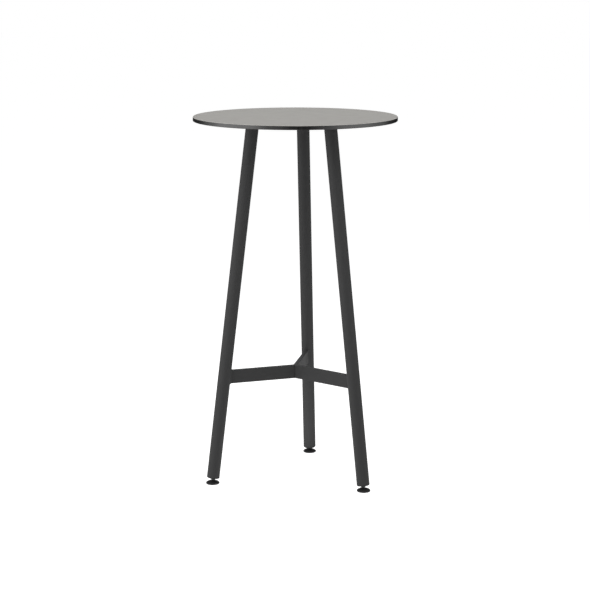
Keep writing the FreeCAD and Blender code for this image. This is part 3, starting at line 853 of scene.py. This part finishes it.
class TABLE_OT_screws(TableOperator, bpy.types.Operator):
    """Build the button-head screws that hold the plate to the top"""

    bl_idname = "table.build_screws"
    bl_label = "Screws"

    def execute(self, context):
        """From the bottom of the hexagon socket out over the domed head and up the threaded shank."""
        settings = context.scene.meeting_table
        fixing = settings.fixing
        columns, steps = SMALL_COLUMNS, 8
        lead, cone, tip = 0.2 * MM, 0.5 * MM, 0.6 * MM
        cone_share, rim_rounding = 0.4, 0.15 * MM
        shank = fixing.thread / 2
        socket = hexagon_radii(fixing.socket, columns)
        face, floor = SCREW_HEAD_UNDERSIDE, SCREW_HEAD_UNDERSIDE + fixing.socket_depth
        crown, shoulder = (fixing.crown / 2, face), (fixing.head / 2, WASHER_UNDERSIDE - fixing.rim)
        head = softened([
            (socket.max() + lead, face, 0),
            *arc(crown, shoulder, fixing.dome),
            (fixing.head / 2, WASHER_UNDERSIDE, rim_rounding),
            (shank, WASHER_UNDERSIDE, 0),
        ])
        start = TOP_UNDERSIDE - 2 * fixing.pitch
        heights = np.arange(start, SCREW_TIP - tip, fixing.pitch / steps)[:, None]
        thread = thread_radii(heights - TOP_UNDERSIDE, columns, fixing.thread, fixing.pitch)
        root = shank - THREAD_DEPTH * fixing.pitch
        inside = stacked(columns, socket * cone_share, socket, socket)
        radii = stacked(columns, inside, head[:, :1], shank, thread, root, root - lead)
        into = stacked(columns, floor + cone, floor, face + lead, head[:, 1:], start - fixing.pitch)
        levels = stacked(columns, into, heights, SCREW_TIP - lead, SCREW_TIP)
        skins = at_screws(rings(radii, levels, columns), settings)
        new_piece(settings, "plate_screw_set", skins, "zinc_steel", "frame", "plate_screws")
        return {"FINISHED"}


# Frame

# In plan, the line on which a bar along X meets the next bar
MITRE = np.array([math.cos(TURN / 6), math.sin(TURN / 6)])


class TABLE_OT_legs(TableOperator, bpy.types.Operator):
    """Build the three leaning leg tubes"""

    bl_idname = "table.build_legs"
    bl_label = "Legs"

    def execute(self, context):
        """Round tube about its own axis, cut square below. Its upper end is level: the height along
        the axis is what brings radius * cosine of the angle * sine of the lean up to the plate."""
        settings = context.scene.meeting_table
        columns, lip = 144, 0.25 * MM
        outer = settings.frame.tube / 2
        inner = outer - settings.frame.wall
        end = foot_levels(settings.foot)["plug"] + settings.foot.flange
        section = softened([(inner, end + MM, 0), (inner, end, lip), (outer, end, lip), (outer, end + MM, 0)])
        swing = np.array([[outer], [inner]]) * np.cos(ring_angles(columns)) * math.sin(LEAN)
        upper = (PLATE_UNDERSIDE - BALL_HEIGHT - swing) / math.cos(LEAN)
        radii = stacked(columns, section[:, :1], outer, inner)
        tube = rings(radii, stacked(columns, section[:, 1:], upper), columns)
        pieces_per_leg(settings, on_leg, ("leg_tube", tube, "graphite_powder_coat", "leg"), bored=True)
        return {"FINISHED"}


def bar_section(width, height, edge, steps):
    """Ring of (across, up) points of a bar's rounded section, with points on its middle line."""
    half, up = width / 2, height / 2
    right = [(0, up, 0), (half, up, edge), (half, -up, edge)]
    left = [(0, -up, 0), (-half, -up, edge), (-half, up, edge)]
    return softened(right + left, closed=True, steps=steps)


def to_leg(across, heights, radius):
    """How far out the side of a leg that faces the axis is, at a distance across and a height."""
    return leg_offset(heights) - np.sqrt(radius**2 - across**2) / math.cos(LEAN)


def seam_points(sizes):
    """In plan, the bottom of the seam beside a bar, on its mitre, and the seam's edge on its face."""
    half = sizes.bar / 2
    corner = np.array([half / math.tan(TURN / 6), half])
    return corner - MITRE * sizes.seam_depth, corner + np.array([sizes.seam, 0])


class TABLE_OT_stretcher(TableOperator, bpy.types.Operator):
    """Build the three flat bars of the stretcher"""

    bl_idname = "table.build_stretcher"
    bl_label = "Stretcher"

    def execute(self, context):
        """The bar's plan is carried up its height. The rounding of the long edges draws its sides in:
        the side leaves the seam's face where that face is as far out as the side, and it ends on
        the leg, whose side runs further in as the height goes up."""
        settings = context.scene.meeting_table
        sizes = settings.frame
        half, edge = sizes.bar / 2, sizes.bar_edge
        end_points, side_steps = 15, 6
        root, lip = seam_points(sizes)
        section = edge_section(-1.5 * edge, ARM_BOTTOM, ARM_TOP, edge)
        side, heights = half + section[:, :1], section[:, 1:]
        lip_x = root[0] + (lip[0] - root[0]) * (side - root[1]) / (half - root[1])
        end_y = side * np.linspace(1, -1, end_points)
        end_x = to_leg(end_y, heights, sizes.tube / 2)
        side_x = lip_x + (end_x[:, :1] - lip_x) * np.linspace(0, 1, side_steps + 1)[1:-1]
        flat = np.ones_like(side)
        near_x = np.hstack([flat * root[0], lip_x, side_x])
        near_y = np.hstack([flat * root[1], side, side_x * 0 + side])
        x = np.hstack([flat * 0, near_x, end_x, near_x[:, ::-1]])
        y = np.hstack([flat * 0, near_y, end_y, -near_y[:, ::-1]])
        bar = np.stack([x, y, np.broadcast_to(heights, x.shape)], -1)
        pieces_per_leg(settings, on_bearing, ("stretcher_bar", bar, "graphite_powder_coat", "stretcher_arm"))
        return {"FINISHED"}


def bead(run, swell):
    """Places across a weld's face, its bulge there, and its ripples along a run, as grids.

    The face goes from 0 at one toe to 1 at the other and bulges as a half sine wave. A ripple is the
    hump of a sine, swept back towards the toes as the square of the distance from the middle.
    """
    rows, sweep = 13, 0.8
    face = np.linspace(0, 1, rows)[:, None]
    hump = np.abs(np.sin((run + sweep * (face - 0.5) ** 2 * TURN) / 2))
    return face, np.sin(face * math.pi) * (0.5 + hump) * swell


def weld_set(settings, name, points, node, bored=True):
    """One piece made of a weld at every leg's bearing."""
    skins = [skin(on_bearing(points, side), bored) for side in SIDES]
    new_piece(settings, name, skins, "graphite_powder_coat", "frame", node)


class TABLE_OT_leg_welds(TableOperator, bpy.types.Operator):
    """Build the welds round the tops of the legs"""

    bl_idname = "table.build_leg_welds"
    bl_label = "Leg top welds"

    def execute(self, context):
        """A fillet round the leg: drop below the plate and distance out from the leg trade places
        across its face. A level section of the leaning leg is an ellipse, which is offset outwards."""
        settings = context.scene.meeting_table
        sizes = settings.frame
        radius, weld, toe = sizes.tube / 2, sizes.plate_weld, sizes.toe
        ripples = round(TURN * radius / sizes.ripple)
        columns = ripples * RIPPLE_COLUMNS
        angles = ring_angles(columns)
        face, bulge = bead(angles * ripples, sizes.ripple_height)
        out = stacked(columns, 0, toe + (weld - toe) * face + bulge * math.sqrt(0.5), 0)
        drop = stacked(columns, weld, weld * (1 - face) + bulge * math.sqrt(0.5), 0)
        heights = PLATE_UNDERSIDE - np.clip(drop, 0, None)
        across = (radius / math.cos(LEAN) + out) * np.cos(angles)
        ring = np.stack([leg_offset(heights) + across, (radius + out) * np.sin(angles), heights], -1)
        weld_set(settings, "leg_top_weld_set", ring, "leg_top_welds")
        return {"FINISHED"}


def perimeter(ring):
    """Length of a closed ring of points."""
    return np.linalg.norm(np.roll(ring, -1, axis=0) - ring, axis=1).sum()


def resampled(ring, count):
    """Points evenly spaced along a closed ring."""
    closed = np.concatenate([ring, ring[:1]])
    along = np.concatenate([[0], np.cumsum(np.linalg.norm(np.diff(closed, axis=0), axis=1))])
    places = np.arange(count) * along[-1] / count
    return np.stack([np.interp(places, along, closed[:, k]) for k in (0, 1)], -1)


class TABLE_OT_arm_welds(TableOperator, bpy.types.Operator):
    """Build the welds round the outer ends of the stretcher's bars"""

    bl_idname = "table.build_arm_welds"
    bl_label = "Bar end welds"

    def execute(self, context):
        """A fillet carried round the bar's section where it meets the leg: across its face it goes
        from the toe on the bar to the toe on the leg, where the section has grown by the weld."""
        settings = context.scene.meeting_table
        sizes = settings.frame
        radius, reach = sizes.tube / 2, sizes.arm_weld
        height, middle = ARM_TOP - ARM_BOTTOM, (ARM_TOP + ARM_BOTTOM) / 2
        grown = [
            bar_section(sizes.bar + 2 * by, height + 2 * by, sizes.bar_edge + by, steps=16)
            for by in (0.0, sizes.toe, reach)
        ]
        ripples = round(perimeter(grown[0]) / sizes.ripple)
        columns = ripples * RIPPLE_COLUMNS
        seat, toe, foot = (resampled(ring, columns) for ring in grown)
        face, bulge = bead(ring_angles(columns) * ripples, sizes.ripple_height)
        bulge = bulge * math.sqrt(0.5)
        outwards = (foot - toe) / np.linalg.norm(foot - toe, axis=1, keepdims=True)
        across, up = (toe[:, k] + (foot - toe)[:, k] * face for k in (0, 1))
        onto = to_leg(across, middle + up, radius) - reach * (1 - face) - bulge
        across, up = across + bulge * outwards[:, 0], up + bulge * outwards[:, 1]
        inner = to_leg(seat[:, 0], middle + seat[:, 1], radius)
        ring = np.stack([
            stacked(columns, inner - reach, onto, inner),
            stacked(columns, seat[:, 0], across, seat[:, 0]),
            middle + stacked(columns, seat[:, 1], up, seat[:, 1]),
        ], -1)
        weld_set(settings, "bar_end_weld_set", ring, "stretcher_end_welds")
        return {"FINISHED"}


class TABLE_OT_centre_welds(TableOperator, bpy.types.Operator):
    """Build the beads in the seams where the bars meet"""

    bl_idname = "table.build_centre_welds"
    bl_label = "Centre welds"

    def execute(self, context):
        """A bead carried up the bottom of a seam. Its face crowns as a parabola between its toes on
        the two bars, and ripples stand on the crown."""
        settings = context.scene.meeting_table
        sizes = settings.frame
        root, lip = seam_points(sizes)
        across = np.array([-MITRE[1], MITRE[0]])
        toe = (lip - root) * sizes.seam_weld / ((lip - root) @ MITRE)
        bottom, top = ARM_BOTTOM + sizes.bar_edge, ARM_TOP - sizes.bar_edge
        heights = np.linspace(bottom, top, RIPPLE_COLUMNS * round((top - bottom) / sizes.ripple) + 1)
        face, bulge = bead(heights * TURN / sizes.ripple, sizes.seam_crown)
        spread = (2 * face - 1) * (toe @ across) + heights * 0
        throat = sizes.seam_weld + bulge
        plan = [
            stacked(len(heights), root[k], root[k] + spread * across[k] + throat * MITRE[k]) for k in (0, 1)
        ]
        column = np.stack([*plan, np.broadcast_to(heights, plan[0].shape)], -1).transpose(1, 0, 2)
        weld_set(settings, "centre_weld_set", column, "stretcher_centre_welds", bored=False)
        return {"FINISHED"}


# Feet


def foot_levels(foot):
    """Distances along the leg from the ball's centre, by name."""
    above = math.sqrt(foot.ball**2 - foot.ball_top**2)
    below = math.sqrt(foot.ball**2 - foot.ball_under**2)
    hexagon = above + foot.shoulder_height
    plug = hexagon + foot.hexagon_height + foot.gap
    return {
        "ball_top": above,
        "ball_under": -below,
        "hexagon": hexagon,
        "thread": hexagon + foot.hexagon_height,
        "plug": plug,
        "nut": plug + foot.nut_seat,
    }


def hexagon_prism(width, bottom, top, columns):
    """Radii and heights of a hexagon's sides. A cone at 30 degrees to each face turns its corners off."""
    side = hexagon_radii(width, columns)
    drop = (side - width / 2) * math.tan(TURN / 12)
    radii = stacked(columns, width / 2, side, side, width / 2)
    return radii, stacked(columns, bottom, bottom + drop, top - drop, top)


def sphere_zone(radius, centre, start, end, count):
    """Section of a sphere's zone between two heights, as points at even steps of latitude."""
    latitudes = np.linspace(*(math.asin((height - centre) / radius) for height in (start, end)), count)
    return [(radius * math.cos(angle), centre + radius * math.sin(angle), 0) for angle in latitudes]


class TABLE_OT_plugs(TableOperator, bpy.types.Operator):
    """Dress the moulded plugs and build the nuts inside them"""

    bl_idname = "table.build_plugs"
    bl_label = "Plugs and nuts"

    def execute(self, context):
        """The nut's sides are a hexagon with its corners turned off, and its bore is the stud's
        thread with its clearance."""
        settings = context.scene.meeting_table
        foot = settings.foot
        columns = SMALL_COLUMNS
        bottom = foot_levels(foot)["nut"]
        top = bottom + foot.nut_height
        sides, side_levels = hexagon_prism(foot.nut, bottom, top, columns)
        heights = np.linspace(bottom, top, round(foot.nut_height / FOOT_PITCH * THREAD_ROWS))[::-1, None]
        inside = thread_radii(heights, columns, foot.thread, FOOT_PITCH) + foot.clearance
        nut = rings(stacked(columns, sides, inside), stacked(columns, side_levels, heights), columns)
        pieces_per_leg(settings, on_leg, ("plug_nut", nut, "zinc_steel", "foot_nut"), bored=True)
        for side in SIDES:
            dress(f"foot_plug_{side}", finish_for("black_plastic", settings))
        return {"FINISHED"}


class TABLE_OT_studs(TableOperator, bpy.types.Operator):
    """Build the threaded studs with their hexagons and riveted spigots"""

    bl_idname = "table.build_studs"
    bl_label = "Levelling studs"

    def execute(self, context):
        """Turned below the hexagon, a hexagon with turned-off corners, a relief, then a rolled
        thread that the cone of the point cuts down to its root."""
        settings = context.scene.meeting_table
        foot = settings.foot
        columns = SMALL_COLUMNS
        levels = foot_levels(foot)
        rivet_top = levels["ball_under"] + foot.rivet_recess - foot.clearance
        rivet_bottom = rivet_top - foot.rivet_height
        stem = softened([
            (foot.spigot * INNER_RING, rivet_bottom, 0),
            (foot.rivet, rivet_bottom, 0.3 * MM),
            (foot.rivet, rivet_top, 0.1 * MM),
            (foot.spigot, rivet_top, 0),
            (foot.spigot, levels["ball_top"], 0),
            (foot.shoulder, levels["ball_top"], 0.15 * MM),
            (foot.shoulder, levels["hexagon"], 0),
        ])
        top = levels["thread"]
        tip = top + foot.thread_length
        relief_end, thread_start = top + 0.3 * MM, top + FOOT_PITCH
        root, end = foot.thread / 2 - THREAD_DEPTH * FOOT_PITCH, foot.thread / 2 - foot.point
        heights = np.arange(thread_start, tip - 0.1 * MM, FOOT_PITCH / THREAD_ROWS)[:, None]
        thread = thread_radii(heights, columns, foot.thread, FOOT_PITCH)
        lead_in = np.clip((heights - thread_start) / FOOT_PITCH, 0, 1)
        cone = np.maximum(end + tip - heights, root - foot.point / 2)
        thread = np.minimum(root + (thread - root) * lead_in, cone)
        sides, side_levels = hexagon_prism(foot.hexagon, levels["hexagon"], top, columns)
        relief = (root + relief_end - top, root, root)
        relief_levels = (top, relief_end, thread_start - 0.05 * FOOT_PITCH)
        radii = stacked(columns, stem[:, :1], sides, *relief, thread, end)
        along = stacked(columns, stem[:, 1:], side_levels, *relief_levels, heights, tip)
        stud = rings(radii, along, columns)
        pieces_per_leg(settings, on_leg, ("levelling_stud", stud, "stud_steel", "foot_stud"), part="stud")
        return {"FINISHED"}


class TABLE_OT_balls(TableOperator, bpy.types.Operator):
    """Build the nylon balls on the studs' spigots"""

    bl_idname = "table.build_balls"
    bl_label = "Balls"

    def execute(self, context):
        """A zone of a sphere between two flats, bored for the spigot and recessed for its rivet."""
        settings = context.scene.meeting_table
        foot = settings.foot
        levels = foot_levels(foot)
        top, under = levels["ball_top"], levels["ball_under"]
        hole, recess = foot.spigot + foot.clearance, foot.rivet + foot.clearance
        shelf = under + foot.rivet_recess
        zone = sphere_zone(foot.ball, 0, under, top, 40)
        section = [(recess, under, 0), *zone, (hole, top, 0), (hole, shelf, 0), (recess, shelf, 0)]
        ball = turned(section, BALL_COLUMNS, closed=True)
        piece = ("ball_bush", ball, "ball_nylon", "foot_ball")
        pieces_per_leg(settings, on_leg, piece, part="ball", bored=True)
        return {"FINISHED"}


class TABLE_OT_pads(TableOperator, bpy.types.Operator):
    """Build the swivel pads and their rubber soles"""

    bl_idname = "table.build_pads"
    bl_label = "Pads and soles"

    def execute(self, context):
        """Turned sections: a domed pad whose socket is a zone of a sphere, and a flat sole."""
        settings = context.scene.meeting_table
        foot = settings.foot
        socket = foot.ball + foot.clearance
        neck = socket + foot.neck_wall
        seat = sphere_zone(socket, BALL_HEIGHT, PAD_TOP - foot.flare, foot.socket_floor, 32)
        throat, floor = seat[0][0], seat[-1][0]
        sole, sole_edge = foot.pad - foot.sole_inset, foot.sole_edge
        start, end = (foot.pad, foot.pad_rim), (neck, PAD_TOP - foot.neck_edge)
        pad = [
            (sole * INNER_RING, SOLE_TOP, 0),
            (sole, SOLE_TOP, 0),
            (sole, PAD_UNDERSIDE, 0.1 * MM),
            (foot.pad - foot.pad_edge, PAD_UNDERSIDE, 0.2 * MM),
            (foot.pad, PAD_UNDERSIDE + foot.pad_edge, 0.3 * MM),
            *arc(start, end, foot.pad_dome, steps=24),
            (neck - foot.neck_edge, PAD_TOP, 0.25 * MM),
            (throat + foot.flare, PAD_TOP, 0.2 * MM),
            *seat,
            (floor * INNER_RING, foot.socket_floor, 0),
        ]
        disc = [
            (sole * INNER_RING, 0, 0),
            (sole - sole_edge, 0, 0.1 * MM),
            (sole, sole_edge, 0.1 * MM),
            (sole, SOLE_TOP, 0),
            (sole * INNER_RING, SOLE_TOP, 0),
        ]
        pieces_per_leg(
            settings,
            on_floor,
            ("swivel_pad", turned(pad, PAD_COLUMNS), "black_plastic", "foot_pad"),
            ("pad_sole", turned(disc, PAD_COLUMNS), "sole_rubber", "foot_sole"),
            part="pad",
        )
        return {"FINISHED"}


# Studio

# Each softbox's bearing from the camera's in degrees, distance, height, and width and height of its face
SOFTBOXES = {
    "left": (-65, 2.6, 0.95, (2.8, 1.9)),
    "right": (66, 2.6, 0.95, (2.2, 1.3)),
    "canopy": (-175, 1.5, 3.2, (2.2, 1.6)),
    "fill": (5, 2.4, 3.0, (2.0, 1.5)),
}
# The softboxes look at a point on the table's axis, at this share of its height
AIM = 0.6
# Each black panel's bearing from the camera's in degrees, and half of its width
PANELS = {"left": (-140, 1.1), "front": (6, 0.65), "right": (140, 1.1)}
PANEL_DISTANCE, PANEL_HEIGHT = 2.4, 2.6
FLOOR_RADIUS, FLOOR_COLUMNS = 30.0, 96
# The light between the feet: its width as a share of a foot's distance from the axis, and its height
BOUNCE_SHARE, BOUNCE_HEIGHT = 1.5, 2 * MM
BLACK = (0.01, 0.01, 0.01)


def area_light(name, shape, size, watts):
    """Area light that is still to be placed."""
    light = bpy.data.lights.new(name, "AREA")
    light.shape = shape
    light.size, light.size_y = size
    light.energy = watts
    return new_object(name, light)


def looking(place, target):
    """Matrix of something at a place that looks at a target along its own -Z, with Y upwards."""
    back = (place - target) / np.linalg.norm(place - target)
    right = np.cross([0, 0, 1], back)
    right /= np.linalg.norm(right)
    columns = np.stack([right, np.cross(back, right), back, place], axis=1)
    return Matrix(np.vstack([columns, [0, 0, 0, 1]]).tolist())


def seen_directly(material):
    """One for rays from the camera, off gloss or through glass, and zero for light on its way."""
    path = add_node(material, "ShaderNodeLightPath")
    rays = [path.outputs[name] for name in ("Is Camera Ray", "Is Glossy Ray", "Is Transmission Ray")]
    seen = rays.pop()
    for ray in rays:
        seen = add_node(material, "ShaderNodeMath", {0: seen, 1: ray}, operation="MAXIMUM").outputs[0]
    return seen


class TABLE_OT_studio(TableOperator, bpy.types.Operator):
    """Build the floor, the white surroundings, the lights, the black panels and the camera"""

    bl_idname = "table.build_studio"
    bl_label = "Studio"

    def execute(self, context):
        """Softboxes and panels stand round the table at bearings from the camera's, and the softboxes
        look at a point on the table's axis."""
        studio = context.scene.meeting_table.studio
        self.build_floor(studio)
        self.build_sky(studio)
        for name, (turn, distance, height, size) in SOFTBOXES.items():
            bearing = studio.azimuth + math.radians(turn)
            lamp = area_light(f"softbox_{name}", "RECTANGLE", size, getattr(studio, name))
            place = np.array([math.sin(bearing) * distance, -math.cos(bearing) * distance, height])
            lamp.matrix_world = looking(place, np.array([0, 0, TOP_FACE * AIM]))
        self.build_bounce(studio)
        for name, (turn, half_width) in PANELS.items():
            self.build_panel(f"panel_{name}", studio.azimuth + math.radians(turn), half_width)
        self.build_camera(studio)
        context.scene.view_settings.view_transform = "Standard"
        return {"FINISHED"}

    def build_bounce(self, studio):
        """Light off the floor between the feet: it lies face up, and is not itself seen."""
        lamp = area_light("floor_bounce", "DISK", [BALL_OFFSET * BOUNCE_SHARE] * 2, studio.low)
        lamp.location = (0, 0, BOUNCE_HEIGHT)
        lamp.rotation_euler = (TURN / 2, 0, 0)
        lamp.visible_camera = False
        lamp.visible_glossy = False

    def build_panel(self, name, bearing, half_width):
        """Black panel that stands at a bearing from -Y, for gloss alone to show."""
        out = np.array([math.sin(bearing), -math.cos(bearing), 0]) * PANEL_DISTANCE
        side = np.array([math.cos(bearing), math.sin(bearing), 0]) * half_width
        up = np.array([0, 0, PANEL_HEIGHT])
        mesh = bpy.data.meshes.new(name)
        mesh.from_pydata([out - side, out + side, out + side + up, out - side + up], [], [(0, 1, 2, 3)])
        mesh.materials.append(finish_named("black_cloth", base_color=BLACK, roughness=1.0))
        panel = new_object(name, mesh)
        for ray in ("camera", "diffuse", "transmission", "volume_scatter", "shadow"):
            setattr(panel, f"visible_{ray}", False)

    def build_floor(self, studio):
        """A wide disc that faces up, is white to look at, keeps shadows, and is open from below.

        It lies a drop below the soles, where a foot that is screwed out and tilted doesn't reach it.
        """
        mesh = bpy.data.meshes.new("floor")
        rim = rings([FLOOR_RADIUS], [-studio.drop], FLOOR_COLUMNS)[0]
        mesh.from_pydata(rim.tolist(), [], [range(len(rim))])
        material = bpy.data.materials.new("studio_floor")
        material.use_nodes = True
        nodes = material.node_tree.nodes
        nodes.remove(nodes["Principled BSDF"])

        def shader(kind, values=()):
            return add_node(material, f"ShaderNode{kind}", values).outputs[0]

        lit = shader("BsdfDiffuse", {"Color": (*studio.floor, 1)})
        shaded = shader("BsdfDiffuse", {"Color": (*[studio.shade] * 3, 1)})
        white = shader("Emission", {"Strength": 1 - studio.shade * studio.sky})
        shown = shader("AddShader", {0: white, 1: shaded})
        above = shader("MixShader", {0: seen_directly(material), 1: lit, 2: shown})
        below = shader("BsdfTransparent")
        facing = add_node(material, "ShaderNodeNewGeometry").outputs["Backfacing"]
        both = shader("MixShader", {0: facing, 1: above, 2: below})
        material.node_tree.links.new(both, nodes["Material Output"].inputs["Surface"])
        mesh.materials.append(material)
        new_object("studio_floor", mesh)

    def build_sky(self, studio):
        """Even light from all round, which is white where it is looked at."""
        world = bpy.data.worlds.new("studio")
        world.use_nodes = True
        seen = seen_directly(world)
        level = add_node(world, "ShaderNodeMapRange", {"Value": seen, "To Min": studio.sky, "To Max": 1.0})
        background = world.node_tree.nodes["Background"]
        background.inputs["Color"].default_value = (1, 1, 1, 1)
        world.node_tree.links.new(level.outputs[0], background.inputs["Strength"])
        bpy.context.scene.world = world

    def build_camera(self, studio):
        """Camera on the studio's bearing, pitched down."""
        data = bpy.data.cameras.new("camera")
        data.lens = studio.lens
        camera = new_object("camera", data)
        turn = studio.azimuth
        camera.location = (math.sin(turn) * studio.distance, -math.cos(turn) * studio.distance, studio.height)
        camera.rotation_euler = (TURN / 4 - studio.pitch, 0, turn + studio.yaw)
        bpy.context.scene.camera = camera


class TABLE_PT_panel(bpy.types.Panel):
    """Lists what can be built and the sizes and colours that can be changed"""

    bl_label = "Meeting Table"
    bl_idname = "TABLE_PT_panel"
    bl_space_type = "VIEW_3D"
    bl_region_type = "UI"
    bl_category = "Meeting Table"

    def draw(self, context):
        settings = context.scene.meeting_table
        for operator in OPERATORS:
            self.layout.operator(operator.bl_idname)
        for group in ("top", "fixing", "frame", "foot", "studio"):
            box = self.layout.box()
            box.label(text=group.title())
            sizes = getattr(settings, group)
            for name in sizes.bl_rna.properties.keys():
                if name not in ("name", "rna_type"):
                    box.prop(sizes, name)


GROUPS = (TopSettings, FixingSettings, FrameSettings, FootSettings, StudioSettings, TableSettings)
OPERATORS = (
    TABLE_OT_top,
    TABLE_OT_inserts,
    TABLE_OT_plate,
    TABLE_OT_washers,
    TABLE_OT_screws,
    TABLE_OT_legs,
    TABLE_OT_stretcher,
    TABLE_OT_leg_welds,
    TABLE_OT_arm_welds,
    TABLE_OT_centre_welds,
    TABLE_OT_plugs,
    TABLE_OT_studs,
    TABLE_OT_balls,
    TABLE_OT_pads,
    TABLE_OT_studio,
)


def register():
    for item in (*GROUPS, *OPERATORS, TABLE_PT_panel):
        bpy.utils.register_class(item)
    bpy.types.Scene.meeting_table = PointerProperty(type=TableSettings)


def unregister():
    del bpy.types.Scene.meeting_table
    for item in reversed((*GROUPS, *OPERATORS, TABLE_PT_panel)):
        bpy.utils.unregister_class(item)


def main():
    """Build the whole table."""
    register()
    for operator in OPERATORS:
        group, name = operator.bl_idname.split(".")
        getattr(getattr(bpy.ops, group), name)()


if __name__ == "__main__":
    main()
